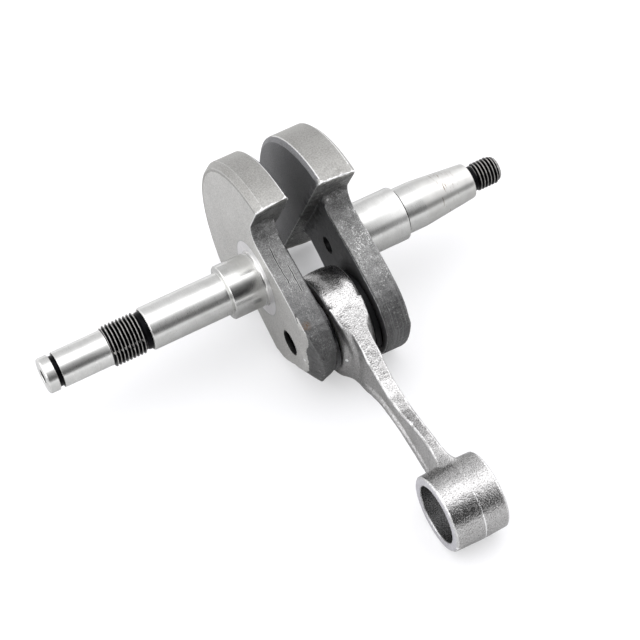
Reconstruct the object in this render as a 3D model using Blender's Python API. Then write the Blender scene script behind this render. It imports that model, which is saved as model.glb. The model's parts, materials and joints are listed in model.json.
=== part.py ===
"""Pressed-together crankshaft of a small two-stroke engine, with its connecting rod.

Lengths in the tables are millimetres. x runs along the main axis towards the flywheel
end and is 0 on the rod's mid-plane, a runs from the main axis towards the crank pin,
and b is square to both. place() turns (x, a, b) into metres in the row frame, where
the shaft is level and the part lies on its web corners and its small end.
"""

import math

import bmesh
import bpy
from mathutils import Vector

MM = 0.001

# Lie of the part: the throw points this far below the horizontal.
LIE = math.radians(26.2)
# Angle of the rod from the throw, about the crank pin.
ROD_ANGLE = math.radians(21.6)

THROW = 19.3
ROD_LENGTH = 62.3

# Mid-plane of the rod and its bearing between the two crank webs
MID = 0.3

# Crank webs. All x are distances from the rod's nominal mid-plane.
CLUTCH_WEB = {
    "out": 13.85,
    "tongue_in": 6.85,
    "weight_in": 4.4,
    "rim": 32.2,
    "rim_chamfer": (1.9, 1.3),
    "cut": (-8.4, -8.8),
    "tip": (31.8, 30.7),
    "bevelled": True,
    "draft": 0.0,
}
FLYWHEEL_WEB = {
    "out": 14.1,
    "tongue_in": 7.4,
    "weight_in": 3.7,
    "rim": 32.2,
    "rim_chamfer": (0.8, 0.9),
    "cut": (-7.8, -8.6),
    "tip": (32.3, 32.2),
    "bevelled": False,
    "draft": 1.8,
}
# The counterweight's end faces lean this much from the near end to the far end.
LEAN = 1.6


# Big end, from the pin outwards
PIN_R = 7.2
PIN_BORE_R = 3.25
ROLLER_R = 1.25
ROLLERS = 14
ROLLER_LENGTH = 7.2
PITCH_R = 8.5
BIG_BORE_R = 9.8
BIG_R = 14.4
BIG_FACE_R = 13.5
BIG_HALF = 4.8
WASHER_R = 11.3

# Small end
SMALL_R = 10.45
SMALL_BORE_R = 7.75
SMALL_HALF = 7.5

SHAFT_SEGMENTS = 40


def place(x, a, b):
    """A point of the crank's own (x, a, b) in metres in the row frame."""
    return Vector(
        (
            x * MM,
            (-a * math.cos(LIE) - b * math.sin(LIE)) * MM,
            (-a * math.sin(LIE) + b * math.cos(LIE)) * MM,
        )
    )


def rod_point(x, s, y):
    """A point given along (s) and across (y) the rod from the crank pin's axis."""
    return place(
        x,
        THROW + s * math.cos(ROD_ANGLE) - y * math.sin(ROD_ANGLE),
        s * math.sin(ROD_ANGLE) + y * math.cos(ROD_ANGLE),
    )


def clear_scene():
    for obj in list(bpy.data.objects):
        bpy.data.objects.remove(obj, do_unlink=True)
    for mesh in list(bpy.data.meshes):
        bpy.data.meshes.remove(mesh)


def new_collection(name, hidden=False):
    made = bpy.data.collections.new(name)
    bpy.context.scene.collection.children.link(made)
    made.hide_render = hidden
    return made


def add_object(name, rings, collection, to_world=place):
    """A closed solid through rings of points, each ring one list of (x, a, b).

    The first and last rings are capped. All rings have the same count.
    """
    bm = bmesh.new()
    loops = [[bm.verts.new(to_world(*p)) for p in ring] for ring in rings]
    count = len(loops[0])
    for first, second in zip(loops, loops[1:]):
        for i in range(count):
            j = (i + 1) % count
            bm.faces.new((first[i], first[j], second[j], second[i]))
    bm.faces.new(loops[0][::-1])
    bm.faces.new(loops[-1])
    bmesh.ops.recalc_face_normals(bm, faces=bm.faces)
    mesh = bpy.data.meshes.new(name)
    bm.to_mesh(mesh)
    bm.free()
    obj = bpy.data.objects.new(name, mesh)
    collection.objects.link(obj)
    return obj


def turned_rings(profile, a=0.0, b=0.0, segments=SHAFT_SEGMENTS, phase=0.5):
    """Rings of a solid turned about an axis along x through (a, b).

    profile is a list of (x, radius), or of (x, function of the turn 0 to 1).
    """
    rings = []
    for x, radius in profile:
        ring = []
        for i in range(segments):
            turn = (i + phase) / segments
            r = radius(turn) if callable(radius) else radius
            ring.append(
                (
                    x,
                    a + r * math.cos(2 * math.pi * turn),
                    b + r * math.sin(2 * math.pi * turn),
                )
            )
        rings.append(ring)
    return rings


def tube_object(name, x0, x1, r_out, r_in, a, b, segments, collection, chamfer=0.0):
    """A closed ring or tube along x: outer wall, end face, inner wall, end face."""
    bm = bmesh.new()
    c = chamfer
    stations = [
        (x0 + c, r_out),
        (x1 - c, r_out),
        (x1, r_out - c),
        (x1, r_in + c),
        (x1 - c, r_in),
        (x0 + c, r_in),
        (x0, r_in + c),
        (x0, r_out - c),
    ]
    if c == 0.0:
        stations = [(x0, r_out), (x1, r_out), (x1, r_in), (x0, r_in)]
    loops = []
    for x, r in stations:
        loop = []
        for i in range(segments):
            turn = 2 * math.pi * (i + 0.5) / segments
            loop.append(
                bm.verts.new(place(x, a + r * math.cos(turn), b + r * math.sin(turn)))
            )
        loops.append(loop)
    for k, first in enumerate(loops):
        second = loops[(k + 1) % len(loops)]
        for i in range(segments):
            j = (i + 1) % segments
            bm.faces.new((first[i], first[j], second[j], second[i]))
    bmesh.ops.recalc_face_normals(bm, faces=bm.faces)
    mesh = bpy.data.meshes.new(name)
    bm.to_mesh(mesh)
    bm.free()
    obj = bpy.data.objects.new(name, mesh)
    collection.objects.link(obj)
    return obj


def combine(obj, tool, operation, label):
    modifier = obj.modifiers.new(label, "BOOLEAN")
    modifier.operation = operation
    modifier.solver = "EXACT"
    modifier.object = tool
    tool.hide_render = True
    tool.display_type = "WIRE"


def thread_profile(x0, x1, pitch, crest, root):
    """Stations of a single-start V thread, as (x, radius of the turn), fading at both ends."""
    steps = max(2, round((x1 - x0) / pitch * 4))
    stations = []
    for k in range(steps + 1):
        x = x0 + (x1 - x0) * k / steps

        def radius(turn, x=x):
            part = (x / pitch - turn) % 1.0
            wave = 1.0 - abs(2.0 * part - 1.0)
            wave = min(1.0, max(0.0, 1.35 * wave - 0.12))
            edge = min(x - x0, x1 - x) / (0.5 * pitch)
            return root + (crest - root) * wave * min(1.0, max(0.0, edge))

        stations.append((x, radius))
    return stations


def mirrored(rings, side):
    return [[(side * x, a, b) for x, a, b in ring] for ring in rings]


# --- Crank webs -------------------------------------------------------------------


def cut_line(web, x, b):
    """Where a counterweight's end face lies along the throw, with its draft and lean."""
    low, high = web["cut"]
    part = (web["out"] - x) / (web["out"] - web["weight_in"])
    return low + (high - low) * part - LEAN * (31.0 - b) / 62.0


def weight_rings(web):
    """The counterweight: an arc closed by its flat end faces, thick towards the rod."""
    axial, radial = web["rim_chamfer"]
    rings = []
    for x, radius in (
        (web["out"], web["rim"] - radial),
        (web["out"] - axial, web["rim"]),
        (web["weight_in"] + 0.9, web["rim"]),
        (web["weight_in"], web["rim"] - 1.2),
    ):
        first = math.acos(cut_line(web, x, 31.0) / radius)
        last = 2 * math.pi - math.acos(cut_line(web, x, -31.0) / radius)
        ring = []
        steps = 56
        for k in range(steps + 1):
            angle = first + (last - first) * k / steps
            ring.append((x, radius * math.cos(angle), radius * math.sin(angle)))
        rings.append(ring)
    return rings


# Half outline of the tongue that carries the pin, from its tip along one side
TIP_DEGREES = (2.5, 7.5, 12.5, 17.5, 20.5)
TONGUE_SIDE = (
    (28.7, 12.4),
    (27.3, 13.8),
    (25.4, 15.0),
    (23.2, 15.9),
    (20.8, 16.4),
    (16.0, 16.6),
    (11.0, 16.4),
    (6.0, 16.0),
    (1.5, 15.3),
    (-1.2, 15.0),
)
# Outer face of the bevelled tongue over the same points, and how deep its bevel goes
NOSE_NEAR = (
    (27.4, 0.9, 3.3),
    (26.8, 2.4, 3.1),
    (25.6, 3.9, 2.7),
    (24.0, 5.2, 2.3),
    (22.3, 6.5, 2.0),
    (21.8, 8.6, 1.7),
    (21.8, 10.6, 1.4),
    (21.6, 12.4, 1.0),
    (21.0, 13.8, 0.7),
    (19.8, 15.0, 0.5),
)
NOSE_FAR = (
    (27.0, 1.2, 3.5),
    (26.4, 2.6, 3.7),
    (25.5, 4.2, 4.2),
    (24.3, 5.8, 4.8),
    (23.1, 7.2, 5.1),
    (22.3, 8.4, 5.0),
    (21.9, 9.6, 4.8),
    (21.5, 10.8, 4.1),
    (20.7, 12.0, 2.9),
    (19.6, 13.4, 1.8),
)


def tongue_side(web, x, tip_radius, narrower, side):
    """Half outline at x, each point with its own x. side is 1 for the near half, -1 for the far."""
    points = [
        (tip_radius * math.cos(math.radians(d)), tip_radius * math.sin(math.radians(d)))
        for d in TIP_DEGREES
    ]
    outline = []
    for a, b in points + list(TONGUE_SIDE):
        r = math.hypot(a, b)
        if r > tip_radius:
            a, b = a * tip_radius / r, b * tip_radius / r
        outline.append((x, a, b - narrower * min(1.0, b / 10.0)))
    cut = cut_line(web, x, side * 20.0)
    corner = 19.9 - narrower
    for degrees in (270, 255, 240, 225, 210, 195, 180):
        angle = math.radians(degrees)
        outline.append(
            (x, cut + 4.95 + 5.0 * math.cos(angle), corner + 5.0 * math.sin(angle))
        )
    outline.append((x, -14.0, corner))
    return outline


def tongue_rings(web):
    out, inner = web["out"], web["tongue_in"]
    ridge_radius, inner_radius = web["tip"]
    halves = {}
    for side in (1, -1):
        extra = 0.0 if side > 0 else 0.7
        face = tongue_side(web, out, ridge_radius, extra, side)
        ridge = tongue_side(web, out - 0.5, ridge_radius, extra, side)
        back = tongue_side(web, inner, inner_radius, web["draft"] + extra, side)
        if web["bevelled"]:
            nose = NOSE_NEAR if side > 0 else NOSE_FAR
            for k, (a, b, depth) in enumerate(nose):
                face[k] = (out, a, b)
                ridge[k] = (out - depth, ridge[k][1], ridge[k][2])
        else:
            for k in range(len(TIP_DEGREES) + len(TONGUE_SIDE)):
                face[k] = (out, face[k][1] - 0.5 * min(1.0, k / 14 + 0.4), face[k][2] - 0.3)
        halves[side] = (face, ridge, back)
    rings = []
    for near, far in zip(halves[1], halves[-1]):
        rings.append([(x, a, -b) for x, a, b in far[::-1]] + near)
    return rings


def crank_half(name, side, web, shaft, node_parts, tool_parts, keyway=None):
    """One forging: counterweight, tongue and stub shaft, bored blind for the pin."""
    body = add_object(name, mirrored(weight_rings(web), side), node_parts)
    tongue = add_object(name + "_tongue", mirrored(tongue_rings(web), side), tool_parts)
    combine(body, tongue, "UNION", "Tongue")
    stub = add_object(name + "_shaft", turned_rings(shaft), tool_parts)
    combine(body, stub, "UNION", "Shaft")
    bore = add_object(
        name + "_pin_bore",
        mirrored(
            turned_rings(
                [(web["tongue_in"] - 1.0, PIN_R + 0.05), (12.6, PIN_R + 0.05)],
                THROW,
                0.0,
                48,
            ),
            side,
        ),
        tool_parts,
    )
    combine(body, bore, "DIFFERENCE", "Pin bore")
    vent = add_object(
        name + "_vent",
        mirrored(
            turned_rings(
                [(12.2, PIN_BORE_R), (web["out"] + 1.0, PIN_BORE_R)], THROW, 0.0, 28
            ),
            side,
        ),
        tool_parts,
    )
    combine(body, vent, "DIFFERENCE", "Vent hole")
    inner = web["tongue_in"]
    drill = add_object(
        name + "_centre_drill",
        mirrored(
            turned_rings(
                [
                    (inner - 0.5, 2.6),
                    (inner + 0.3, 2.15),
                    (inner + 2.8, 0.85),
                    (inner + 4.0, 0.8),
                    (inner + 4.3, 0.2),
                ],
                segments=24,
            ),
            side,
        ),
        tool_parts,
    )
    combine(body, drill, "DIFFERENCE", "Centre drill")
    tip = abs(shaft[0][0] if side < 0 else shaft[-1][0])
    mouth = add_object(
        name + "_end_drill",
        mirrored(
            turned_rings(
                [
                    (tip + 0.5, 2.05 if side < 0 else 1.75),
                    (tip - 0.2, 2.0 if side < 0 else 1.7),
                    (tip - 2.3, 0.8),
                    (tip - 3.6, 0.75),
                    (tip - 3.9, 0.2),
                ],
                segments=24,
            ),
            side,
        ),
        tool_parts,
    )
    combine(body, mouth, "DIFFERENCE", "End centre drill")
    if keyway:
        slot = add_object(name + "_keyway", keyway, tool_parts)
        combine(body, slot, "DIFFERENCE", "Keyway")
    return body


def clutch_shaft():
    """(x, radius) from the clutch end to inside the web."""
    thread = thread_profile(-56.7, -47.6, 1.0, 5.62, 4.95)
    return (
        [
            (-75.0, 4.45),
            (-74.6, 4.85),
            (-72.2, 4.85),
            (-72.1, 4.2),
            (-70.9, 4.2),
            (-70.8, 4.85),
            (-57.4, 4.85),
        ]
        + thread
        + [
            (-47.5, 5.2),
            (-46.2, 5.2),
            (-46.1, 5.55),
            (-45.8, 5.87),
            (-23.6, 5.87),
            (-23.5, 7.15),
            (-23.15, 7.5),
            (-14.75, 7.5),
            (-14.68, 7.38),
            (-14.5, 7.38),
            (-14.43, 7.55),
            (-14.15, 7.6),
            (-13.97, 7.7),
            (-13.85, 7.85),
            (-13.0, 7.85),
        ]
    )


def flywheel_shaft():
    """(x, radius) from inside the web to the flywheel end."""
    thread = thread_profile(51.9, 58.2, 1.0, 3.87, 3.25)
    return (
        [
            (13.0, 7.85),
            (14.1, 7.85),
            (14.22, 7.7),
            (14.4, 7.6),
            (14.68, 7.55),
            (14.75, 7.38),
            (14.93, 7.38),
            (15.0, 7.5),
            (28.3, 7.5),
            (28.7, 7.1),
            (28.75, 6.25),
            (29.0, 6.25),
            (29.05, 6.45),
            (34.0, 6.45),
            (35.4, 6.37),
            (49.9, 4.95),
            (50.3, 4.65),
            (50.4, 3.6),
        ]
        + thread
        + [(58.9, 3.1), (59.3, 2.5)]
    )


def keyway_rings():
    """Key slot cut in the taper, on the side away from the crank pin."""
    rings = []
    for x, depth in ((37.6, -3.2), (38.4, -4.6), (46.0, -3.95), (46.8, -2.6)):
        near = depth
        rings.append([(x, near, -1.25), (x, near, 1.25), (x, -9.0, 1.25), (x, -9.0, -1.25)])
    return rings


# --- Connecting rod ---------------------------------------------------------------

# Stations along the rod: distance, half width, half thickness, flute depth per side
SHANK = (
    (4.0, 13.6, 4.7, 0.02),
    (5.6, 13.2, 4.6, 0.02),
    (8.0, 12.25, 4.4, 0.02),
    (11.0, 10.98, 3.8, 0.02),
    (14.0, 9.72, 3.0, 0.02),
    (17.0, 8.45, 2.45, 0.3),
    (20.5, 6.9, 2.1, 0.7),
    (25.0, 5.1, 1.98, 0.8),
    (30.0, 4.4, 1.95, 0.8),
    (35.0, 4.6, 1.8, 0.75),
    (40.0, 5.85, 1.6, 0.65),
    (45.0, 6.9, 1.5, 0.55),
    (49.0, 7.2, 1.55, 0.35),
    (52.0, 7.4, 1.9, 0.02),
    (55.0, 7.9, 3.0, 0.02),
    (57.5, 8.4, 4.4, 0.02),
    (59.5, 8.7, 5.4, 0.02),
)


def shank_rings():
    rings = []
    for s, half_width, half_thick, flute in SHANK:
        rim = max(1.6, 0.34 * half_width)
        corner = 0.45
        inner = half_width - rim
        floor = half_thick - flute
        slope = inner - 0.9 * flute - 0.15
        quarter = [
            (half_thick - corner, half_width),
            (half_thick, half_width - corner),
            (half_thick, inner),
            (floor, slope),
        ]
        side = quarter + [(x, -y) for x, y in quarter[::-1]]
        outline = side + [(-x, -y) for x, y in side]
        rings.append([(MID + x, s, y) for x, y in outline])
    return rings


def rod_turned(profile, s, segments):
    """Rings about an axis across the rod at s. profile holds (x, radius, cut), where
    cut is how much smaller the radius is on the side that faces the small end."""
    rings = []
    for x, radius, cut in profile:
        ring = []
        for i in range(segments):
            angle = 2 * math.pi * (i + 0.5) / segments
            r = radius - cut * max(0.0, math.cos(angle))
            ring.append((MID + x, s + r * math.cos(angle), r * math.sin(angle)))
        rings.append(ring)
    return rings


def connecting_rod(node_parts, tool_parts):
    rod = add_object("connecting_rod", shank_rings(), node_parts, rod_point)
    big = add_object(
        "rod_big_eye",
        rod_turned(
            [
                (-BIG_HALF, BIG_FACE_R, 2.1),
                (-BIG_HALF + 0.6, BIG_FACE_R + 0.45, 1.6),
                (-1.6, BIG_R, 0.0),
                (1.6, BIG_R, 0.0),
                (BIG_HALF - 0.6, BIG_FACE_R + 0.45, 1.6),
                (BIG_HALF, BIG_FACE_R, 2.1),
            ],
            0.0,
            64,
        ),
        tool_parts,
        rod_point,
    )
    combine(rod, big, "UNION", "Big eye")
    small = add_object(
        "rod_small_eye",
        rod_turned(
            [
                (-SMALL_HALF, SMALL_R - 0.4, 0.0),
                (-SMALL_HALF + 0.4, SMALL_R, 0.0),
                (SMALL_HALF - 0.4, SMALL_R, 0.0),
                (SMALL_HALF, SMALL_R - 0.4, 0.0),
            ],
            ROD_LENGTH,
            60,
        ),
        tool_parts,
        rod_point,
    )
    combine(rod, small, "UNION", "Small eye")
    for name, s, half, radius, chamfer, segments in (
        ("rod_big_bore", 0.0, BIG_HALF, BIG_BORE_R, 0.4, 56),
        ("rod_small_bore", ROD_LENGTH, SMALL_HALF, SMALL_BORE_R, 0.15, 52),
    ):
        tool = add_object(
            name,
            rod_turned(
                [
                    (-half - 0.5, radius + chamfer + 0.5, 0.0),
                    (-half + chamfer, radius, 0.0),
                    (half - chamfer, radius, 0.0),
                    (half + 0.5, radius + chamfer + 0.5, 0.0),
                ],
                s,
                segments,
            ),
            tool_parts,
            rod_point,
        )
        combine(rod, tool, "DIFFERENCE", name)
    return rod


# --- Big-end bearing --------------------------------------------------------------


def needle_cage(node_parts, tool_parts):
    cage = tube_object(
        "needle_cage",
        MID - 4.6,
        MID + 4.6,
        PITCH_R + 0.5,
        PITCH_R - 0.5,
        THROW,
        0.0,
        70,
        node_parts,
    )
    reach = ROLLER_LENGTH / 2 + 0.15
    half = ROLLER_R + 0.14
    bm = bmesh.new()
    for i in range(ROLLERS):
        angle = 2 * math.pi * i / ROLLERS
        out = (math.cos(angle), math.sin(angle))
        across = (-math.sin(angle), math.cos(angle))
        corners = []
        for x in (-reach, reach):
            for r, t in ((7.0, -half), (10.2, -half), (10.2, half), (7.0, half)):
                corners.append(
                    bm.verts.new(
                        place(
                            MID + x,
                            THROW + r * out[0] + t * across[0],
                            r * out[1] + t * across[1],
                        )
                    )
                )
        low, high = corners[:4], corners[4:]
        bm.faces.new(low[::-1])
        bm.faces.new(high)
        for k in range(4):
            m = (k + 1) % 4
            bm.faces.new((low[k], low[m], high[m], high[k]))
    bmesh.ops.recalc_face_normals(bm, faces=bm.faces)
    mesh = bpy.data.meshes.new("cage_pockets")
    bm.to_mesh(mesh)
    bm.free()
    pockets = bpy.data.objects.new("cage_pockets", mesh)
    tool_parts.objects.link(pockets)
    combine(cage, pockets, "DIFFERENCE", "Roller pockets")
    return cage


def needle_rollers(node_parts):
    half = ROLLER_LENGTH / 2
    for i in range(ROLLERS):
        angle = 2 * math.pi * i / ROLLERS
        a = THROW + PITCH_R * math.cos(angle)
        b = PITCH_R * math.sin(angle)
        add_object(
            f"needle_roller_{i + 1:02d}",
            turned_rings(
                [
                    (MID - half, ROLLER_R - 0.25),
                    (MID - half + 0.25, ROLLER_R),
                    (MID + half - 0.25, ROLLER_R),
                    (MID + half, ROLLER_R - 0.25),
                ],
                a,
                b,
                16,
            ),
            node_parts,
        )


def build():
    clear_scene()
    node_parts = new_collection("crankshaft")
    tool_parts = new_collection("cutters", hidden=True)
    crank_half(
        "clutch_side_crank_half", -1, CLUTCH_WEB, clutch_shaft(), node_parts, tool_parts
    )
    crank_half(
        "flywheel_side_crank_half",
        1,
        FLYWHEEL_WEB,
        flywheel_shaft(),
        node_parts,
        tool_parts,
        keyway_rings(),
    )
    tube_object(
        "crank_pin", -12.3, 12.3, PIN_R, PIN_BORE_R, THROW, 0.0, 48, node_parts, 0.4
    )
    connecting_rod(node_parts, tool_parts)
    needle_cage(node_parts, tool_parts)
    needle_rollers(node_parts)
    for name, side in (("clutch_side_thrust_washer", -1), ("flywheel_side_thrust_washer", 1)):
        low, high = MID + side * 5.1, MID + side * 6.8
        if side < 0:
            low, high = high, low
        tube_object(
            name, low, high, WASHER_R, PIN_R + 0.3, THROW, 0.0, 56, node_parts, 0.2
        )


build()
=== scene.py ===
"""Looks of the crankshaft: finer surfaces over the CAD solids, materials, light and camera.

Crank coordinates are millimetres: x along the main axis towards the flywheel end, a from
the main axis towards the crank pin, b square to both. place() turns them into the metres
of the frame, whose pin axis and small-end opening give the lie of the part.
"""

import json  # noqa: E402
import math  # noqa: E402

import bmesh  # noqa: E402
import bpy  # noqa: E402
import numpy as np  # noqa: E402
from mathutils import Matrix, Vector, noise  # noqa: E402


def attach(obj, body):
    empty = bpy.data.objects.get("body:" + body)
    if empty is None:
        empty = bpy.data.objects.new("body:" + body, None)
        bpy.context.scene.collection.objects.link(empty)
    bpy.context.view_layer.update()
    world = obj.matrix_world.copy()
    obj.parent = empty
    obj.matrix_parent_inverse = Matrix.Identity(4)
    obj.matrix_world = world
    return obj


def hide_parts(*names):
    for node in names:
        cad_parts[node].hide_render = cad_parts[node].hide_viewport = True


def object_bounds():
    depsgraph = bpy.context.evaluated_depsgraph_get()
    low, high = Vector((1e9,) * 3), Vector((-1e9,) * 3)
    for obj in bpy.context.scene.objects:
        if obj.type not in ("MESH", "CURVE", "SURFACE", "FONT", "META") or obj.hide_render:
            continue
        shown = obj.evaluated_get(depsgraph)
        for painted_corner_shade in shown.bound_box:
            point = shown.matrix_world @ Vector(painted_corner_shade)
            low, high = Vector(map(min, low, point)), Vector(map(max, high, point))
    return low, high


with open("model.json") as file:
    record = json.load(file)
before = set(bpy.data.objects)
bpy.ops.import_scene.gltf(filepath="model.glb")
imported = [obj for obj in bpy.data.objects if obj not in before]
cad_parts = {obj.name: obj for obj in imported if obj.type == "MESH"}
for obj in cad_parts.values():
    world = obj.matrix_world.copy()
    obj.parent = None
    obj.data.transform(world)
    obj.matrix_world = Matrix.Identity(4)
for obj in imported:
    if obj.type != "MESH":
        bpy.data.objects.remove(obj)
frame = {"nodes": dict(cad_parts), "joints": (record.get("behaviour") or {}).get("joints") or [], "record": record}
cad_low, cad_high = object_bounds()
NODES = frame["nodes"]
MM = 0.001

# --- Lie of the part, read from the frame -------------------------------------------

PIN_AT = next(j for j in frame["joints"] if j["name"] == "rod_swing")["pos_m"]
THROW = math.hypot(PIN_AT[1], PIN_AT[2]) / MM
LIE = math.atan2(-PIN_AT[2], -PIN_AT[1])
MID = PIN_AT[0] / MM
EYE_BOX = frame["record"]["physics"]["openings"][0]["box_m"]
EYE_AT = [(low + high) / 2 for low, high in zip(*EYE_BOX)]
ROD_LENGTH = math.hypot(EYE_AT[1] - PIN_AT[1], EYE_AT[2] - PIN_AT[2]) / MM

# Crank webs: how far out each outer face lies, the counterweight's rim, shoulder and end,
# the faced ring, the pin's bore, the vent hole, and the x of each inner face's corner
WEB_OUT = {"clutch": 13.85, "flywheel": 14.1}
RIM_R = 32.2
SHOULDER_R = RIM_R - 1.4
WEIGHT_END = -8.6
SPOT_FACE_R = 10.8
PIN_BORE_R = 7.25
VENT_R = 3.25
INNER_EDGE = {"clutch": -6.85, "flywheel": 7.4}

# Forging flaws on the clutch-side tongue: cracks as (x, from a, to a), and a rusty spot
SEAMS = ((-10.9, -3.0, 9.0), (-8.9, 3.0, 12.0))
RUST_X, RUST_A = -12.2, 20.0

# Keyway in the taper, as an outline of (x, a)
KEYWAY = ((37.6, -9.0), (37.6, -3.2), (38.4, -4.6), (46.0, -3.95), (46.8, -2.6), (46.8, -9.0))
KEYWAY_WIDTH = 2.5

# Big and small end of the rod, the small end's draft and its parting line, and the part of
# its width that the neck loses
BIG_BORE_R = 9.8
BIG_R = 14.4
BIG_HALF = 4.8
SMALL_BORE_R = 7.75
SMALL_R = 10.45
SMALL_HALF = 7.5
EYE_DRAFT = 0.035
PARTING_X = 0.6
NECK_WAIST = 0.26

# Edges bent more than this stay sharp.
SHARP_BEND = math.radians(28)

# The longest side of a remeshed solid gets 2 to the power of this cells.
REMESH_DEPTH = 8


def place(x, a, b):
    """Crank coordinates in the metres of the frame."""
    return Vector(
        (
            x * MM,
            (-a * math.cos(LIE) - b * math.sin(LIE)) * MM,
            (-a * math.sin(LIE) + b * math.cos(LIE)) * MM,
        )
    )


AXIS_X = (1.0, 0.0, 0.0)
AXIS_A = place(0, 1, 0) / MM
AXIS_B = place(0, 0, 1) / MM
DIAGONAL = (0.0, 0.7071, -0.7071)
ROD_WAY = Vector((0.0, EYE_AT[1] - PIN_AT[1], EYE_AT[2] - PIN_AT[2])).normalized()
EYE_ALONG = ROD_WAY.dot(Vector(EYE_AT)) / MM
ROD_SIDE = Vector((0.0, ROD_WAY.z, -ROD_WAY.y))


def crank_space(points):
    """An array of points in metres as crank coordinates."""
    p = np.asarray(points) / MM
    return np.stack([p[:, 0], p @ np.array(AXIS_A), p @ np.array(AXIS_B)], 1)


def rod_space(points):
    """An array of points in metres as (x from the rod's mid-plane, along it, across it)."""
    p = (np.asarray(points) - np.array(PIN_AT)) / MM
    return np.stack([p[:, 0], p @ np.array(ROD_WAY), p @ np.array(ROD_SIDE)], 1)


def smoothstep(low, high, value):
    """0 at low and 1 at high, smooth between. low may be above high."""
    t = np.clip((value - low) / (high - low), 0.0, 1.0)
    return t * t * (3 - 2 * t)


# --- Materials ----------------------------------------------------------------------


class Nodes:
    """Short calls for building one material's node tree."""

    def __init__(self, name):
        self.material = bpy.data.materials.new(name)
        self.material.use_nodes = True
        self.tree = self.material.node_tree
        self.tree.nodes.clear()
        self.out = self.add("ShaderNodeOutputMaterial")
        self.shader = self.add("ShaderNodeBsdfPrincipled")
        self.join(self.shader.outputs["BSDF"], self.out.inputs["Surface"])
        self.coords = self.add("ShaderNodeTexCoord").outputs["Object"]

    def add(self, kind, **values):
        node = self.tree.nodes.new(kind)
        for key, value in values.items():
            setattr(node, key, value)
        return node

    def join(self, source, target):
        self.tree.links.new(source, target)

    def put(self, target, value):
        if isinstance(value, bpy.types.NodeSocket):
            self.join(value, target)
        else:
            target.default_value = value

    def stretch(self, scale, turn=(0.0, 0.0, 0.0)):
        """Coordinates in millimetres, turned and scaled."""
        node = self.add("ShaderNodeMapping")
        self.join(self.coords, node.inputs["Vector"])
        node.inputs["Rotation"].default_value = turn
        node.inputs["Scale"].default_value = [s / MM for s in scale]
        return node.outputs["Vector"]

    def noise(self, scale, detail=2.0, rough=0.5, turn=(0.0, 0.0, 0.0)):
        """Noise about 0.5, with scale cells a millimetre along x, y and z."""
        node = self.add("ShaderNodeTexNoise")
        self.join(self.stretch(scale, turn), node.inputs["Vector"])
        node.inputs["Scale"].default_value = 1.0
        node.inputs["Detail"].default_value = detail
        node.inputs["Roughness"].default_value = rough
        return node.outputs["Fac"]

    def range(self, value, low, high, to_low=0.0, to_high=1.0):
        """A value between low and high, carried over to between to_low and to_high."""
        node = self.add("ShaderNodeMapRange")
        self.put(node.inputs["Value"], value)
        for key, number in (
            ("From Min", low),
            ("From Max", high),
            ("To Min", to_low),
            ("To Max", to_high),
        ):
            self.put(node.inputs[key], number)
        return node.outputs["Result"]

    def maths(self, kind, first, second=0.0):
        node = self.add("ShaderNodeMath", operation=kind)
        self.put(node.inputs[0], first)
        self.put(node.inputs[1], second)
        return node.outputs[0]

    def times(self, first, second):
        return self.maths("MULTIPLY", first, second)

    def apart(self, first, second):
        """How far two values lie from each other."""
        return self.maths("ABSOLUTE", self.maths("SUBTRACT", first, second))

    def mix(self, factor, first, second):
        node = self.add("ShaderNodeMix", data_type="RGBA")
        self.put(node.inputs[0], factor)
        for socket, value in ((node.inputs[6], first), (node.inputs[7], second)):
            if isinstance(value, bpy.types.NodeSocket):
                self.join(value, socket)
            else:
                socket.default_value = (*value, 1.0)
        return node.outputs[2]

    def bump(self, height, distance, strength=1.0, after=None):
        """Height in millimetres of a 0 to 1 input."""
        node = self.add("ShaderNodeBump")
        self.join(height, node.inputs["Height"])
        node.inputs["Distance"].default_value = distance * MM
        node.inputs["Strength"].default_value = strength
        if after is not None:
            self.join(after, node.inputs["Normal"])
        return node.outputs["Normal"]

    def along(self, direction):
        """Distance from the frame's origin along a direction, in millimetres."""
        node = self.add("ShaderNodeVectorMath", operation="DOT_PRODUCT")
        self.join(self.coords, node.inputs[0])
        node.inputs[1].default_value = [d / MM for d in direction]
        return node.outputs["Value"]

    def radius(self):
        """Distance from the main axis, in millimetres."""
        way_a, way_b = self.along(AXIS_A), self.along(AXIS_B)
        return self.maths("SQRT", self.maths("ADD", self.times(way_a, way_a), self.times(way_b, way_b)))

    def axis_way(self):
        """The direction of the main axis, for highlights drawn out along it."""
        node = self.add("ShaderNodeCombineXYZ")
        node.inputs["X"].default_value = 1.0
        return node.outputs["Vector"]

    def convex(self, low, high):
        """1 on sharp outer edges, 0 on flat and hollow surface."""
        point = self.add("ShaderNodeNewGeometry").outputs["Pointiness"]
        return self.range(point, low, high)

    def finish(self, color, roughness, metallic=1.0, normal=None, **more):
        """Fills in the shader. More inputs are named with _ for each space."""
        s = self.shader.inputs
        if isinstance(color, bpy.types.NodeSocket):
            self.join(color, s["Base Color"])
        else:
            s["Base Color"].default_value = (*color, 1.0)
        self.put(s["Roughness"], roughness)
        self.put(s["Metallic"], metallic)
        if normal is not None:
            self.join(normal, s["Normal"])
        for key, value in more.items():
            self.put(s[key.replace("_", " ")], value)
        return self.material


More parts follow.
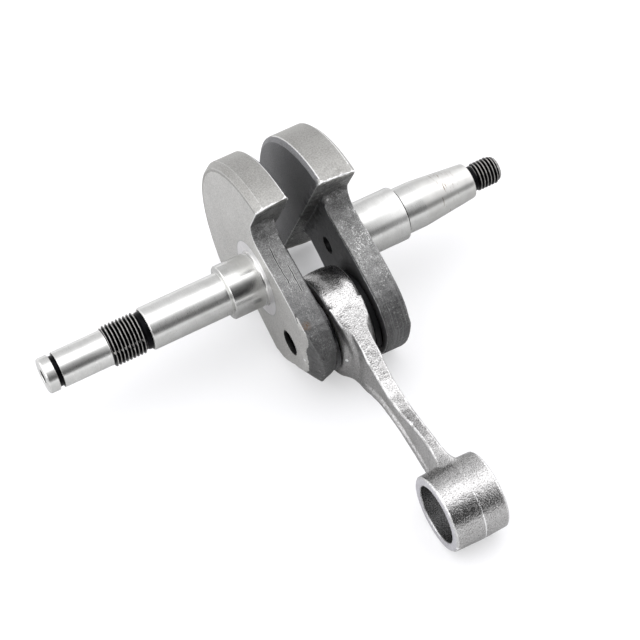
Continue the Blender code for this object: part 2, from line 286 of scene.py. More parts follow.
def ground_steel(name, rough_low, rough_high, drawn, tone=1.0):
    """Journals and shafts: ground round the axis, bright. The highlight is drawn out
    along the axis, across the grinding lines."""
    n = Nodes(name)
    lines = n.noise((14.0, 0.35, 0.35), 3.0, 0.6)
    cloud = n.noise((0.35, 0.3, 0.3), 3.0)
    dull, clean = ((tone * c, tone * c, tone * (c - 0.015)) for c in (0.60, 0.68))
    color = n.mix(n.range(cloud, 0.3, 0.7), dull, clean)
    color = n.mix(n.range(lines, 0.35, 0.75, 0.0, 0.30), color, (0.42, 0.42, 0.41))
    rough = n.range(lines, 0.3, 0.7, rough_low, rough_high)
    return n.finish(
        color,
        rough,
        normal=n.bump(lines, 0.003, 0.6),
        Anisotropic=drawn,
        Tangent=n.axis_way(),
    )


def taper_steel():
    """The taper: ground like the journals, with a few brownish scuffs."""
    n = Nodes("taper_steel")
    lines = n.noise((12.0, 0.35, 0.35), 3.0, 0.6)
    cloud = n.noise((0.3, 0.3, 0.3), 3.0)
    color = n.mix(n.range(cloud, 0.3, 0.7), (0.55, 0.545, 0.53), (0.64, 0.64, 0.62))
    along = n.along(AXIS_X)
    scuffs = n.range(n.noise((3.2, 0.30, 0.30), 3.0, 0.6), 0.60, 0.68)
    band = n.times(n.range(along, 38.0, 40.5), n.range(along, 44.0, 46.0, 1.0, 0.0))
    color = n.mix(n.times(scuffs, band), color, (0.20, 0.15, 0.11))
    rough = n.range(lines, 0.3, 0.7, 0.30, 0.40)
    return n.finish(
        color,
        rough,
        normal=n.bump(lines, 0.004, 0.8),
        Anisotropic=0.75,
        Tangent=n.axis_way(),
    )


def black_thread():
    """Threads, reliefs and the ring groove: blackened, with rubbed bright crests."""
    n = Nodes("black_thread")
    worn = n.convex(0.515, 0.57)
    spots = n.noise((1.5, 1.5, 1.5), 3.0)
    worn = n.times(worn, n.range(spots, 0.30, 0.55, 0.45, 1.0))
    color = n.mix(worn, (0.006, 0.006, 0.007), (0.62, 0.61, 0.59))
    rough = n.maths("ADD", n.range(spots, 0.3, 0.7, 0.36, 0.46), n.times(worn, 0.22))
    return n.finish(color, rough, metallic=0.95, Specular_IOR_Level=0.2)


def web_steel(name, dark, light, edge, rough_low, rough_high, grain_depth):
    """Fine-blasted forging: a satin grey with a sandy grain and a pale painted highlight on its sharp edges."""
    n = Nodes(name)
    sand = n.noise((2.7, 2.7, 2.7), 2.0, 0.75)
    grain = n.noise((2.2, 2.2, 2.2), 2.0, 0.6)
    cloud = n.noise((0.09, 0.09, 0.09), 3.0, 0.5)
    color = n.mix(n.range(cloud, 0.3, 0.72), dark, light)
    color = n.mix(n.range(sand, 0.32, 0.50, 0.42, 0.0), color, tuple(0.55 * c for c in dark))
    color = n.mix(n.range(sand, 0.52, 0.70, 0.0, 0.45), color, tuple(1.35 * c for c in light))
    # Where the rim runs square to this diagonal of the frame, its pointiness is false.
    aside = n.maths("ABSOLUTE", n.along(DIAGONAL))
    # Sharp edges pale: a painted highlight.
    edge_highlight = n.times(n.convex(0.515, 0.545), n.range(aside, 1.2, 1.5))
    color = n.mix(edge_highlight, color, (edge,) * 3)
    rough = n.range(grain, 0.3, 0.7, rough_low, rough_high)
    normal = n.bump(sand, grain_depth, 0.9)
    return n.finish(color, rough, normal=normal)


def spot_face_steel():
    """The ring faced off round the journal, almost white."""
    n = Nodes("spot_face_steel")
    lines = n.noise((6.0, 0.5, 0.5), 2.0)
    color = n.mix(n.range(lines, 0.3, 0.7), (0.80, 0.79, 0.80), (0.90, 0.89, 0.90))
    edge = n.range(n.radius(), SPOT_FACE_R - 0.35, SPOT_FACE_R - 0.1)
    color = n.mix(edge, color, (0.42, 0.42, 0.42))
    return n.finish(color, 0.35)


def forged_steel(end):
    """Sides of the tongues: rough as forged, with drawn lines and nicks, a painted highlight on sharp edges and
    painted shade along the inner corner.

    The clutch side is darker from the middle of its tongue on, and has cracks and rust.
    """
    seamed = end == "clutch"
    n = Nodes("forged_steel_seamed" if seamed else "forged_steel")
    coarse = n.noise((0.45, 0.45, 0.45), 4.0, 0.6)
    fine = n.noise((3.6, 3.6, 3.6), 2.0, 0.7)
    nicks = n.noise((2.2, 2.2, 2.2), 4.0, 0.75)
    drawn = n.noise((1.5, 0.05, 0.05), 3.0, 0.6)
    scratches = n.noise((4.0, 0.7, 1.6), 3.0, 0.65, (0.5, 0.3, 0.2))
    rolled = n.noise((1.3, 0.04, 0.04), 2.0, 0.6)
    along_x, along_a = n.along(AXIS_X), n.along(AXIS_A)

    color = n.mix(n.range(coarse, 0.32, 0.7), (0.15, 0.15, 0.148), (0.25, 0.25, 0.247))
    color = n.mix(n.range(drawn, 0.54, 0.66, 0.0, 0.15), color, (0.40, 0.40, 0.40))
    color = n.mix(n.range(drawn, 0.30, 0.42, 0.2, 0.0), color, (0.08, 0.08, 0.08))
    color = n.mix(n.range(fine, 0.30, 0.48, 0.65, 0.0), color, (0.05, 0.05, 0.05))
    color = n.mix(n.range(fine, 0.54, 0.68, 0.0, 0.65), color, (0.46, 0.46, 0.455))

    patch = n.noise((0.22, 0.22, 0.22), 2.0)
    patches = n.range(patch, 0.42, 0.60, 0.0, 0.6 if seamed else 1.0)
    nicked = n.times(n.range(nicks, 0.57, 0.64, 0.0, 0.9), patches)
    color = n.mix(nicked, color, (0.78, 0.78, 0.77))
    scratched = n.times(n.range(scratches, 0.60, 0.66, 0.0, 0.85), patches)
    color = n.mix(scratched, color, (0.70, 0.70, 0.69))
    # Sharp edges lighter: a painted highlight.
    color = n.mix(n.convex(0.525, 0.565), color, (0.55, 0.55, 0.54))

    # A near-black line along the inner corner: painted shade.
    from_corner = n.apart(along_x, INNER_EDGE[end])
    painted_corner_shade = n.times(n.range(from_corner, 0.25, 0.55, 0.85, 0.0), n.range(along_a, -5.5, -4.5))
    color = n.mix(painted_corner_shade, color, (0.02, 0.02, 0.02))
    low = n.range(along_a, 4.0, 16.0) if seamed else n.range(along_a, 13.0, 21.0)
    color = n.mix(n.times(low, 0.50), color, (0.07, 0.07, 0.072))
    lines = n.times(n.range(rolled, 0.54, 0.60, 0.0, 0.10 if seamed else 0.45), low)
    color = n.mix(lines, color, (0.28, 0.28, 0.28))
    if seamed:
        color = cracked(n, color, along_x, along_a)
        color = rusted(n, color, along_x, along_a, nicks)
    rough = n.range(fine, 0.3, 0.7, 0.40, 0.58)
    normal = n.bump(fine, 0.05, 0.8, n.bump(drawn, 0.10, 0.6))
    return n.finish(color, rough, normal=normal)


def cracked(n, color, along_x, along_a):
    """Dark wandering cracks with pale lips, along the tongue."""
    wander = n.range(n.noise((0.25, 0.25, 0.25), 3.0), 0.0, 1.0, -0.6, 0.6)
    wandering_x = n.maths("ADD", along_x, wander)
    for x, near, far in SEAMS:
        off = n.apart(wandering_x, x)
        there = n.times(n.range(along_a, near, near + 1.0), n.range(along_a, far - 1.0, far, 1.0, 0.0))
        lip = n.times(n.range(off, 0.16, 0.36, 0.6, 0.0), there)
        crack = n.times(n.range(off, 0.07, 0.16, 1.0, 0.0), there)
        color = n.mix(lip, color, (0.45, 0.45, 0.44))
        color = n.mix(crack, color, (0.012, 0.012, 0.012))
    return color


def rusted(n, color, along_x, along_a, nicks):
    """A small rusty spot, broken up by the nicks."""
    from_x, from_a = n.apart(along_x, RUST_X), n.apart(along_a, RUST_A)
    squared = n.maths("ADD", n.times(from_a, from_a), n.times(from_x, from_x))
    spot = n.times(n.range(squared, 0.2, 2.2, 1.0, 0.0), n.range(nicks, 0.42, 0.56))
    return n.mix(n.times(spot, 0.8), color, (0.13, 0.078, 0.045))


def blasted_rod():
    """The rod: coarse shot-blasted, with dark pits, bright specks painted in as glints, a white painted highlight
    on sharp edges and a thin parting line.
    """
    n = Nodes("blasted_rod")
    grain = n.noise((2.6, 2.6, 2.6), 1.5, 0.6)
    pits = n.noise((3.0, 3.0, 3.0), 2.0, 0.7)
    cloud = n.noise((0.15, 0.15, 0.15), 3.0)
    color = n.mix(n.range(cloud, 0.3, 0.7), (0.41, 0.405, 0.40), (0.50, 0.495, 0.49))
    color = n.mix(n.range(pits, 0.34, 0.45, 0.72, 0.0), color, (0.06, 0.057, 0.053))
    # Bright specks: painted glints.
    color = n.mix(n.range(pits, 0.56, 0.68, 0.0, 0.5), color, (0.85, 0.84, 0.84))
    # Sharp edges white: a painted highlight.
    color = n.mix(n.convex(0.522, 0.55), color, (1.0, 1.0, 1.0))
    off = n.apart(n.along(AXIS_X), MID + PARTING_X)
    beyond = n.maths("SUBTRACT", n.along(ROD_WAY), EYE_ALONG)
    parting = n.times(n.range(off, 0.10, 0.20, 1.0, 0.0), n.range(beyond, 3.0, 5.0))
    color = n.mix(n.times(parting, 0.85), color, (0.95, 0.95, 0.95))
    # The flanks, which the blast met at a slant, are duller than the crests.
    facing = n.add("ShaderNodeVectorMath", operation="DOT_PRODUCT")
    n.join(n.add("ShaderNodeNewGeometry").outputs["Normal"], facing.inputs[0])
    facing.inputs[1].default_value = AXIS_X
    flank = n.range(n.maths("ABSOLUTE", facing.outputs["Value"]), 0.45, 0.8, 0.0, 0.25)
    rough = n.maths("ADD", n.range(grain, 0.3, 0.7, 0.18, 0.31), flank)
    normal = n.bump(grain, 0.075, 1.0)
    return n.finish(color, rough, normal=normal)


def cut_steel(name, color, roughness):
    """Machined faces and bores of the rod, the pin and the rollers, and the near-black painted shade in the
    drilled holes.
    """
    n = Nodes(name)
    lines = n.noise((1.2, 3.0, 3.0), 3.0)
    shade = n.mix(n.range(lines, 0.35, 0.65), color, tuple(0.8 * c for c in color))
    return n.finish(shade, n.range(lines, 0.3, 0.7, roughness, roughness + 0.12))


def black_oxide(name, color, roughness, coat=0.5):
    """Blackened steel. The coat is its film of oil."""
    n = Nodes(name)
    cloud = n.noise((0.8, 0.8, 0.8), 3.0)
    return n.finish(
        color,
        n.range(cloud, 0.3, 0.7, roughness, roughness + 0.12),
        metallic=0.6,
        Coat_Weight=coat,
        Coat_Roughness=0.12,
    )


# The long shaft's steel is painted a little brighter than the short one's: painted light that brightens its
# reflections.
GROUND = ground_steel("ground_steel", 0.26, 0.36, 0.75)
GROUND_LONG_LIT = ground_steel("ground_steel_long_painted_light", 0.26, 0.36, 0.75, 1.17)
POLISHED = ground_steel("polished_steel", 0.17, 0.24, 0.6)
TAPER = taper_steel()
THREAD = black_thread()
WEB = web_steel("blasted_web", (0.53, 0.525, 0.51), (0.61, 0.605, 0.59), 0.85, 0.48, 0.60, 0.035)
RIM = web_steel("blasted_rim", (0.335, 0.33, 0.315), (0.405, 0.40, 0.385), 0.95, 0.48, 0.60, 0.045)
# The inner faces: darker than the outer, partly their own forged finish and partly painted shade between the webs.
INNER_WEB_SHADE = web_steel("inner_web_painted_shade", (0.16, 0.16, 0.165), (0.23, 0.23, 0.235), 0.60, 0.42, 0.55, 0.03)
# Near black: painted shade inside the drilled holes.
HOLE_SHADE = cut_steel("painted_hole_shade", (0.03, 0.03, 0.03), 0.5)
SPOT = spot_face_steel()
FORGED = {end: forged_steel(end) for end in WEB_OUT}
ROD = blasted_rod()
ROD_FACE = cut_steel("rod_face", (0.80, 0.79, 0.83), 0.30)
ROD_BORE = cut_steel("rod_bore", (0.46, 0.46, 0.46), 0.20)
PIN = cut_steel("pin_steel", (0.22, 0.22, 0.22), 0.25)
ROLLER = cut_steel("roller_steel", (0.62, 0.62, 0.62), 0.12)
CAGE = black_oxide("cage_black", (0.02, 0.02, 0.021), 0.24)
WASHER = black_oxide("washer_black", (0.022, 0.022, 0.023), 0.18)
DULL_WASHER = black_oxide("washer_black_dull", (0.010, 0.010, 0.011), 0.55, coat=0.0)


# --- Surfaces -----------------------------------------------------------------------


def link(name, mesh, materials):
    """A smooth-shaded object of the mesh."""
    for material in materials:
        mesh.materials.append(material)
    piece = bpy.data.objects.new(name, mesh)
    bpy.context.scene.collection.objects.link(piece)
    mesh.shade_smooth()
    return piece


def turned(name, profile, materials, slot_of, segments=144):
    """A closed solid turned about the main axis, sharp where its outline bends.

    A profile row is (x, radius), or (x, radius, slot) to give the next band, or the end
    face, its own material. A radius may be a function of the turn, from 0 to 1.
    """
    bm = bmesh.new()
    rings = []
    for row in profile:
        x, radius = row[:2]
        ring = []
        for i in range(segments):
            turn = i / segments
            r = radius(turn) if callable(radius) else radius
            angle = 2 * math.pi * turn
            ring.append(bm.verts.new(place(x, r * math.cos(angle), r * math.sin(angle))))
        rings.append(ring)
    for k in range(len(rings) - 1):
        middle = (profile[k][0] + profile[k + 1][0]) / 2
        slot = profile[k][2] if len(profile[k]) > 2 else slot_of(middle)
        for i in range(segments):
            j = (i + 1) % segments
            face = bm.faces.new((rings[k][i], rings[k][j], rings[k + 1][j], rings[k + 1][i]))
            face.material_index = slot
    first, last = bm.faces.new(rings[0]), bm.faces.new(rings[-1])
    for cap, row in ((first, profile[0]), (last, profile[-1])):
        cap.material_index = row[2] if len(row) > 2 else slot_of(row[0])
    bmesh.ops.recalc_face_normals(bm, faces=bm.faces)
    for edge in bm.edges:
        if edge.calc_face_angle(0.0) > SHARP_BEND:
            edge.smooth = False
    mesh = bpy.data.meshes.new(name)
    bm.to_mesh(mesh)
    bm.free()
    return link(name, mesh, materials)


def cut(piece, outline, width):
    """Takes a prism out of a piece: its outline is (x, a) and its width is across them."""
    bm = bmesh.new()
    near, far = (
        [bm.verts.new(place(x, a, way * width / 2)) for x, a in outline] for way in (-1, 1)
    )
    bm.faces.new(near)
    bm.faces.new(far)
    for k in range(len(outline)):
        j = (k + 1) % len(outline)
        bm.faces.new((near[k], near[j], far[j], far[k]))
    bmesh.ops.recalc_face_normals(bm, faces=bm.faces)
    mesh = bpy.data.meshes.new("cutter")
    bm.to_mesh(mesh)
    bm.free()
    cutter = bpy.data.objects.new("cutter", mesh)
    bpy.context.scene.collection.objects.link(cutter)
    modifier = piece.modifiers.new("Cut", "BOOLEAN")
    modifier.operation, modifier.solver, modifier.object = "DIFFERENCE", "EXACT", cutter
    graph = bpy.context.evaluated_depsgraph_get()
    done = bpy.data.meshes.new_from_object(piece.evaluated_get(graph))
    piece.modifiers.clear()
    piece.data = done
    bpy.data.objects.remove(cutter)
    done.set_sharp_from_angle(angle=SHARP_BEND)


def thread(start, end, crest, root, pitch=1.0, per_turn=10):
    """Profile rows of a V thread with rounded crests, fading out at both ends."""
    rows = []
    steps = round((end - start) / pitch * per_turn)
    for k in range(steps + 1):
        x = start + (end - start) * k / steps

        def radius(turn, x=x):
            part = (x / pitch - turn) % 1.0
            wave = min(1.0, max(0.0, 1.3 * (1.0 - abs(2.0 * part - 1.0)) - 0.12))
            fade = min(1.0, max(0.0, min(x - start, end - x) / (0.45 * pitch)))
            return root + (crest - root) * wave * fade

        rows.append((x, radius))
    return rows


def remeshed(node, cut_x=None):
    """A dense copy of a CAD solid that keeps its sharp edges, without what lies further
    out than cut_x where it is given."""
    bm = bmesh.new()
    bm.from_mesh(NODES[node].data)
    bmesh.ops.remove_doubles(bm, verts=bm.verts, dist=1e-7)
    if cut_x is not None:
        way = 1.0 if cut_x > 0 else -1.0
        bmesh.ops.bisect_plane(
            bm,
            geom=bm.verts[:] + bm.edges[:] + bm.faces[:],
            plane_co=(cut_x * MM, 0, 0),
            plane_no=(way, 0, 0),
            clear_outer=True,
        )
        bmesh.ops.holes_fill(bm, edges=[e for e in bm.edges if e.is_boundary])
        bmesh.ops.recalc_face_normals(bm, faces=bm.faces)
    mesh = bpy.data.meshes.new(node + "_source")
    bm.to_mesh(mesh)
    bm.free()
    source = bpy.data.objects.new(node + "_source", mesh)
    bpy.context.scene.collection.objects.link(source)
    modifier = source.modifiers.new("Even", "REMESH")
    modifier.mode = "SHARP"
    modifier.octree_depth = REMESH_DEPTH
    modifier.scale = 0.99
    modifier.sharpness = 1.0
    modifier.use_remove_disconnected = False
    graph = bpy.context.evaluated_depsgraph_get()
    dense = bpy.data.meshes.new_from_object(source.evaluated_get(graph))
    bpy.data.objects.remove(source)
    # Points that nearly coincide would show as false bright edges.
    bm = bmesh.new()
    bm.from_mesh(dense)
    bmesh.ops.remove_doubles(bm, verts=bm.verts, dist=0.07 * MM)
    bm.to_mesh(dense)
    bm.free()
    return dense


def points_of(mesh):
    """The mesh's points in metres, as an array."""
    points = np.empty(len(mesh.vertices) * 3, np.float32)
    mesh.vertices.foreach_get("co", points)
    return points.reshape(-1, 3).astype(np.float64)


def set_points(mesh, points):
    """Moves the mesh's points to those of an array."""
    mesh.vertices.foreach_set("co", points.astype(np.float32).ravel())
    mesh.update()


def relax(mesh, weight, rounds):
    """Laplacian smoothing, by a weight from 0 to 1 for each point."""
    points = points_of(mesh)
    edges = np.empty(len(mesh.edges) * 2, np.int32)
    mesh.edges.foreach_get("vertices", edges)
    edges = edges.reshape(-1, 2)
    both = np.concatenate([edges, edges[:, ::-1]])
    count = np.bincount(both[:, 0], minlength=len(points))[:, None]
    for _ in range(rounds):
        total = np.stack(
            [
                np.bincount(both[:, 0], weights=points[both[:, 1], k], minlength=len(points))
                for k in range(3)
            ],
            1,
        )
        points += (total / np.maximum(count, 1) - points) * 0.5 * weight[:, None]
    set_points(mesh, points)


def rough_up(mesh, depth, size, seed):
    """Moves points along their normals by noise. Depth, one value a point, and the size of
    the lumps are in millimetres."""
    points = points_of(mesh)
    normals = np.empty(len(points) * 3, np.float32)
    mesh.vertices.foreach_get("normal", normals)
    normals = normals.reshape(-1, 3)
    moved = np.nonzero(depth > 1e-4)[0]
    shift = Vector((seed * 17.3, seed * 5.1, seed * 9.7))
    for i in moved:
        p = Vector(points[i]) / (size * MM) + shift
        points[i] += normals[i] * (noise.fractal(p, 0.9, 2.1, 3) * depth[i] * MM)
    set_points(mesh, points)


def assign(mesh, slot_of_faces):
    """Sets each face's material slot from its centre and normal."""
    centres = np.empty(len(mesh.polygons) * 3, np.float32)
    mesh.polygons.foreach_get("center", centres)
    normals = np.empty(len(mesh.polygons) * 3, np.float32)
    mesh.polygons.foreach_get("normal", normals)
    slots = slot_of_faces(centres.reshape(-1, 3).astype(np.float64), normals.reshape(-1, 3))
    mesh.polygons.foreach_set("material_index", slots.astype(np.int32))
    mesh.update()


# --- Crank webs ---------------------------------------------------------------------


def crank_web(end):
    """One web without its shaft: machined faces flat, tongue as forged."""
    way = -1.0 if end == "clutch" else 1.0
    out = WEB_OUT[end]
    mesh = remeshed(end + "_side_crank_half", way * (out + 0.005))
    x, a, b = crank_space(points_of(mesh)).T
    x, from_axis, from_pin = way * x, np.hypot(a, b), np.hypot(a - THROW, b)
    relax(mesh, np.full(len(x), 0.5), 2)
    # The machined outer face and the bores keep their shape, the forged skin is softened.
    inside = smoothstep(out - 0.25, out - 0.7, x)
    bores = smoothstep(0.2, 0.9, np.abs(from_pin - PIN_BORE_R))
    bores *= smoothstep(0.2, 0.9, np.abs(from_pin - VENT_R))
    forged = inside * bores * smoothstep(-9.5, -7.0, a) * smoothstep(3.0, 5.0, from_axis)
    relax(mesh, forged, 6)
    if end == "clutch":
        # The shoulder between the outer face and the rim is worn round.
        worn = smoothstep(1.0, 0.4, np.abs(from_axis - SHOULDER_R)) * smoothstep(0.7, 0.2, out - x)
        relax(mesh, worn * smoothstep(WEIGHT_END + 1.0, WEIGHT_END - 1.0, a), 7)
    end_face = smoothstep(-11.5, -9.0, a) * smoothstep(-5.0, -7.5, a) * inside
    seed = 1.0 if end == "clutch" else 2.0
    rough_up(mesh, 0.07 * forged + 0.20 * end_face, size=2.2, seed=seed)

    face, rim, skin, spot, inner, hole = range(6)

    def slots(centres, normals):
        x, a, b = crank_space(centres).T
        x, turned_out = way * x, way * normals[:, 0]
        from_axis, from_pin = np.hypot(a, b), np.hypot(a - THROW, b)
        outer = (turned_out > 0.75) & (x > out - 0.6)
        found = np.full(len(x), skin)
        found[outer] = face
        found[(a < WEIGHT_END + 1.0) & (from_axis > RIM_R - 2.2)] = rim
        # The inner faces get the darker steel with its painted shade.
        found[turned_out < -0.75] = inner
        # Painted shade in the hole about the main axis.
        found[(from_axis < 2.5) & (x < out - 2.0)] = hole
        found[outer & (from_axis < SPOT_FACE_R)] = spot
        found[(from_pin < PIN_BORE_R + 0.15) & ~outer] = skin
        # The vent hole's painted shade reaches a little past its mouth.
        found[from_pin < VENT_R + 0.35] = hole
        return found

    assign(mesh, slots)
    piece = link(end + "_web", mesh, [WEB, RIM, FORGED[end], SPOT, INNER_WEB_SHADE, HOLE_SHADE])
    return piece


def clutch_shaft():
    """Stub shaft from its end to the clutch-side web."""
    ground, black, polished = range(3)
    profile = (
        [
            (-71.2, 0.2, black),
            (-71.5, 0.75, black),
            (-72.7, 0.8, black),
            (-74.85, 2.0),
            (-75.0, 2.08),
            (-75.0, 4.45),
            (-74.9, 4.68),
            (-74.6, 4.85),
            (-72.25, 4.85),
            (-72.15, 4.75),
            (-72.1, 4.2),
            (-70.9, 4.2),
            (-70.85, 4.75),
            (-70.75, 4.85),
            (-57.5, 4.85),
            (-57.3, 4.95),
        ]
        + thread(-57.25, -47.6, 5.6, 4.75)
        + [
            (-47.3, 5.0),
            (-46.9, 5.15),
            (-46.3, 5.2),
            (-46.1, 5.5),
            (-45.95, 5.75),
            (-45.75, 5.87),
            (-23.75, 5.87),
            (-23.6, 6.1),
            (-23.5, 6.9),
            (-23.4, 7.3),
            (-23.15, 7.5),
            (-14.78, 7.5),
            (-14.73, 7.46),
            (-14.68, 7.38),
            (-14.5, 7.38),
            (-14.46, 7.5),
            (-14.43, 7.55),
            (-14.15, 7.6),
            (-13.97, 7.7),
            (-13.85, 7.85),
            (-13.5, 7.85),
        ]
    )

    def slot_of(x):
        if -72.2 < x < -70.8 or -57.35 < x < -46.05:
            return black
        return polished if x > -23.6 else ground

    piece = turned("clutch_shaft", profile, [GROUND_LONG_LIT, THREAD, POLISHED], slot_of)
    return piece


def flywheel_shaft():
    """Stub shaft from the flywheel-side web to its end."""
    ground, tapered, black = range(3)
    profile = (
        [
            (13.6, 7.85),
            (14.1, 7.85),
            (14.22, 7.7),
            (14.4, 7.6),
            (14.68, 7.55),
            (14.71, 7.5),
            (14.75, 7.38),
            (14.93, 7.38),
            (14.98, 7.46),
            (15.03, 7.5),
            (28.1, 7.5),
            (28.45, 7.35),
            (28.62, 7.1, black),
            (28.7, 6.25, black),
            (28.98, 6.2, black),
            (29.05, 6.45),
            (34.0, 6.45),
            (34.7, 6.42),
            (35.4, 6.36),
            (49.6, 4.97),
            (49.95, 4.9),
            (50.2, 4.75),
            (50.35, 4.5),
            (50.4, 3.6),
            (51.6, 3.45),
        ]
        + thread(51.9, 58.2, 3.85, 3.2)
        + [
            (58.4, 3.4),
            (58.8, 3.2),
            (59.1, 2.9),
            (59.3, 2.4),
            (59.3, 1.75),
            (57.1, 0.8),
            (55.6, 0.75),
            (55.3, 0.2),
        ]
    )

    def slot_of(x):
        if x > 50.38:
            return black
        return tapered if x > 34.5 else ground

    piece = turned("flywheel_shaft", profile, [GROUND, TAPER, THREAD], slot_of)
    cut(piece, KEYWAY, KEYWAY_WIDTH)
    return piece


# --- Connecting rod -----------------------------------------------------------------


def connecting_rod():
    """The rod: bores and side faces true, the forged skin flowing from one to the next."""
    mesh = remeshed("connecting_rod")
    x, along, across = rod_space(points_of(mesh)).T
    from_big, from_small = np.hypot(along, across), np.hypot(along - ROD_LENGTH, across)
    big_skin = np.minimum(
        smoothstep(10.4, 11.6, from_big),
        smoothstep(BIG_HALF - 0.1, BIG_HALF - 0.9, np.abs(x)),
    )
    small_skin = np.minimum(
        smoothstep(8.3, 9.6, from_small),
        smoothstep(SMALL_HALF - 0.1, SMALL_HALF - 0.9, np.abs(x)),
    )
    skin = np.minimum(big_skin, np.where(from_small < 12.5, small_skin, 1.0))
    ends = 1.0 - smoothstep(13.0, 18.0, along) * smoothstep(54.0, 50.0, along)
    relax(mesh, np.full(len(x), 0.5), 1)
    relax(mesh, skin * ends, 12)
    narrow_neck(mesh)
    relax(mesh, skin * ends, 6)
    relax(mesh, skin, 1)
    rough_up(mesh, 0.05 * skin, size=1.6, seed=3.0)
    draft_small_end(mesh)

    forged, side, bore = range(3)

    def slots(centres, normals):
        x, along, across = rod_space(centres).T
        from_big, from_small = np.hypot(along, across), np.hypot(along - ROD_LENGTH, across)
        found = np.full(len(x), forged)
        end_faces = (np.abs(normals[:, 0]) > 0.8) & (np.abs(x) > SMALL_HALF - 0.4)
        found[(from_small < SMALL_R - 0.1) & end_faces] = side
        found[(from_small < SMALL_BORE_R + 0.12) | (from_big < BIG_BORE_R + 0.2)] = bore
        return found

    assign(mesh, slots)
    piece = link("rod", mesh, [ROD, ROD_FACE, ROD_BORE])
    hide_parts("connecting_rod")
    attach(piece, "rod")


def narrow_neck(mesh):
    """Draws the neck in where it leaves the big end, whose rim then shows beside it."""
    points = points_of(mesh)
    x, along, across = rod_space(points).T
    proud = smoothstep(BIG_R + 0.05, BIG_R + 0.9, np.hypot(along, across))
    proud *= smoothstep(20.0, 15.0, along)
    points[:, 0] -= NECK_WAIST * proud * smoothstep(1.5, 3.2, np.abs(x)) * x * MM
    set_points(mesh, points)


def draft_small_end(mesh):
    """Lowers the small end's outside away from its parting line."""
    points = points_of(mesh)
    x, along, across = rod_space(points).T
    along -= ROD_LENGTH
    from_small = np.hypot(along, across)
    skin = smoothstep(8.6, 9.6, from_small) * smoothstep(13.0, 11.0, from_small)
    lower = EYE_DRAFT * np.abs(x - PARTING_X) * skin / np.maximum(from_small, 1.0) * MM
    outward = along[:, None] * np.array(ROD_WAY) + across[:, None] * np.array(ROD_SIDE)
    set_points(mesh, points - lower[:, None] * outward)


def small_pieces():
    """CAD solids that keep their shape and get a better finish."""
    finishes = {
        "crank_pin": PIN,
        "needle_cage": CAGE,
        "clutch_side_thrust_washer": WASHER,
        "flywheel_side_thrust_washer": DULL_WASHER,
    }
    for name, node in NODES.items():
        material = ROLLER if name.startswith("needle_roller") else finishes.get(name)
        if material is not None:
            node.data.materials.clear()
            node.data.materials.append(material)


# --- Studio -------------------------------------------------------------------------

# The camera: turned about the throw, tilted along the shaft and rolled, in degrees,
# aimed beside the axis, in millimetres.
VIEW_TURN, VIEW_TILT, VIEW_ROLL = 14.777, 9.880, 25.283
AIM_X, AIM_A = 3.07, -16.94
DISTANCE = 550.0
SENSOR, LENS = 36.0, 118.13


def camera():
    """A long lens, from above and from the rod's side."""
    turn, tilt, roll = (math.radians(d) for d in (VIEW_TURN, VIEW_TILT, VIEW_ROLL))
    back = (-math.sin(turn), math.cos(turn) * math.sin(tilt), math.cos(turn) * math.cos(tilt))
    along = (math.cos(turn), math.sin(turn) * math.sin(tilt), math.sin(turn) * math.cos(tilt))
    down = (0.0, math.cos(tilt), -math.sin(tilt))
    seat = [DISTANCE * back[k] - AIM_X * along[k] - AIM_A * down[k] for k in range(3)]
    back, along, down = (place(*way) / MM for way in (back, along, down))
    right = math.cos(roll) * along + math.sin(roll) * down
    up = math.sin(roll) * along - math.cos(roll) * down
    data = bpy.data.cameras.new("camera")
    data.sensor_width, data.lens = SENSOR, LENS
    data.clip_start, data.clip_end = 0.01, 20.0
    seen = bpy.data.objects.new("camera", data)
    bpy.context.scene.collection.objects.link(seen)
    turn_to = Matrix((right, up, back)).transposed().to_4x4()
    seen.matrix_world = Matrix.Translation(place(*seat)) @ turn_to
    bpy.context.scene.camera = seen


# Brightness of the tent by the angle about the shaft in degrees, from behind (0) over the
# top (90) to the front (180), and the same below: a bright ceiling and a dark front.
TENT = (
    (0, 0.75),
    (22, 0.80),
    (38, 0.75),
    (55, 0.90),
    (70, 1.75),
    (88, 2.60),
    (104, 2.20),
    (114, 1.10),
    (124, 0.40),
    (134, 0.10),
    (150, 0.02),
    (164, 0.05),
    (173, 0.30),
    (180, 0.55),
)
# The same towards the two ends of the shaft.
TENT_ENDS = (
    (0, 1.00),
    (18, 1.60),
    (38, 2.20),
    (58, 2.30),
    (80, 2.00),
    (110, 1.90),
    (134, 2.10),
    (150, 1.30),
    (166, 0.50),
    (180, 0.60),
)
# The brightness that the curves call 1, and where TENT passes into TENT_ENDS, by how much
# a direction points along the shaft.
TENT_TOP = 3.0
TENT_MIDDLE = (0.28, 0.62)


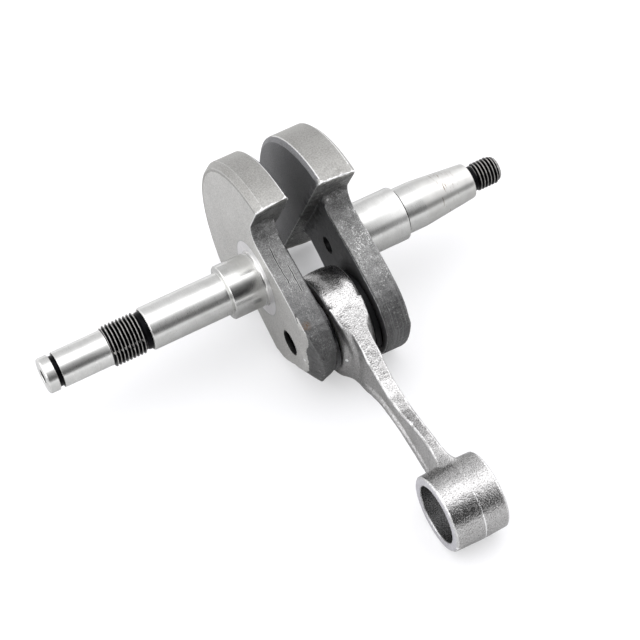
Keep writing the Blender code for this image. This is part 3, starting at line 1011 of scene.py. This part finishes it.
def studio_light():
    """A white tent. What the camera sees directly is plain white."""
    world = bpy.data.worlds.new("studio")
    bpy.context.scene.world = world
    world.use_nodes = True
    tree = world.node_tree
    tree.nodes.clear()
    add, join = tree.nodes.new, tree.links.new
    way = add("ShaderNodeTexCoord")
    split = add("ShaderNodeSeparateXYZ")
    join(way.outputs["Generated"], split.inputs[0])

    def maths(kind, first, second=0.0):
        node = add("ShaderNodeMath")
        node.operation = kind
        for socket, value in zip(node.inputs, (first, second)):
            if isinstance(value, bpy.types.NodeSocket):
                join(value, socket)
            else:
                socket.default_value = value
        return node.outputs[0]

    angle = maths("ARCTAN2", split.outputs["Z"], split.outputs["Y"])
    turn = maths("DIVIDE", maths("ABSOLUTE", angle), math.pi)

    def level(table):
        curve = add("ShaderNodeFloatCurve")
        line = curve.mapping.curves[0]
        line.points[0].location = (0.0, table[0][1] / TENT_TOP)
        line.points[1].location = (1.0, table[-1][1] / TENT_TOP)
        for degrees, brightness in table[1:-1]:
            line.points.new(degrees / 180, brightness / TENT_TOP)
        curve.mapping.update()
        join(turn, curve.inputs["Value"])
        return maths("MULTIPLY", curve.outputs["Value"], TENT_TOP)

    ends = add("ShaderNodeMapRange")
    ends.interpolation_type = "SMOOTHSTEP"
    join(maths("ABSOLUTE", split.outputs["X"]), ends.inputs["Value"])
    ends.inputs["From Min"].default_value, ends.inputs["From Max"].default_value = TENT_MIDDLE
    mix_ends = add("ShaderNodeMix")
    join(ends.outputs["Result"], mix_ends.inputs[0])
    join(level(TENT), mix_ends.inputs[2])
    join(level(TENT_ENDS), mix_ends.inputs[3])
    tent = add("ShaderNodeBackground")
    tent.inputs["Color"].default_value = (0.985, 0.985, 1.0, 1.0)
    join(mix_ends.outputs[0], tent.inputs["Strength"])
    backdrop = add("ShaderNodeBackground")
    backdrop.inputs["Color"].default_value = (1.0, 1.0, 1.0, 1.0)
    path = add("ShaderNodeLightPath")
    mix = add("ShaderNodeMixShader")
    join(path.outputs["Is Camera Ray"], mix.inputs[0])
    join(tent.outputs[0], mix.inputs[1])
    join(backdrop.outputs[0], mix.inputs[2])
    out = add("ShaderNodeOutputWorld")
    join(mix.outputs[0], out.inputs["Surface"])


# Width of the paper and its gap to the part, in metres
FLOOR_SIDE, FLOOR_GAP = 12.0, 0.00005
# Its tone to the light that it reflects, darker near the part as painted shade and paler far off, in millimetres
FLOOR_NEAR_SHADE, FLOOR_FAR = 0.48, 0.80
NEAR_TO, FAR_FROM = 40.0, 200.0
# Its tone and glow as seen, and where under the counterweights it glows less as a painted shadow, in metres
FLOOR_SEEN = (0.48, 0.48, 0.49)
FLOOR_GLOW = 0.48
SHADE_AT = (0.006, 0.018)
SHADE_FROM, SHADE_TO = 0.006, 0.024


def floor():
    """Pale paper that glows for the camera so that it stays near white; it keeps a soft shadow, and has painted
    shade near the part and a painted shadow under the counterweights.
    """
    n = Nodes("floor_white")
    length = n.add("ShaderNodeVectorMath", operation="LENGTH")
    n.join(n.stretch((1.0, 1.0, 1.0)), length.inputs[0])
    # Darker near the part: painted shade in what the paper reflects.
    away = n.range(length.outputs["Value"], NEAR_TO, FAR_FROM)
    tone = n.mix(away, (FLOOR_NEAR_SHADE,) * 3, (FLOOR_FAR,) * 3)
    seen = n.add("ShaderNodeLightPath").outputs["Is Camera Ray"]
    under = n.add("ShaderNodeVectorMath", operation="DISTANCE")
    n.join(n.coords, under.inputs[0])
    under.inputs[1].default_value = (SHADE_AT[0], SHADE_AT[1], cad_low.z)
    off = under.outputs["Value"]
    # Half the glow under the counterweights: a painted shadow.
    glow = n.range(off, SHADE_FROM, SHADE_TO, 0.5 * FLOOR_GLOW, FLOOR_GLOW)
    n.finish(
        n.mix(seen, tone, FLOOR_SEEN),
        0.9,
        metallic=0.0,
        Specular_IOR_Level=0.0,
        Emission_Color=(1.0, 1.0, 1.0, 1.0),
        Emission_Strength=n.times(seen, glow),
    )
    mesh = bpy.data.meshes.new("floor")
    bm = bmesh.new()
    lie = Matrix.Translation((0.0, 0.0, cad_low.z - FLOOR_GAP))
    bmesh.ops.create_grid(bm, x_segments=1, y_segments=1, size=FLOOR_SIDE / 2, matrix=lie)
    bm.to_mesh(mesh)
    bm.free()
    ground = link("floor", mesh, [n.material])


def main():
    """Makes the pieces and the studio."""
    bpy.context.scene.view_settings.view_transform = "Standard"
    for end, shaft in (("clutch", clutch_shaft), ("flywheel", flywheel_shaft)):
        for piece in (crank_web(end), shaft()):
            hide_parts(end + "_side_crank_half")
            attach(piece, "crank")
    connecting_rod()
    small_pieces()
    camera()
    studio_light()
    floor()


main()
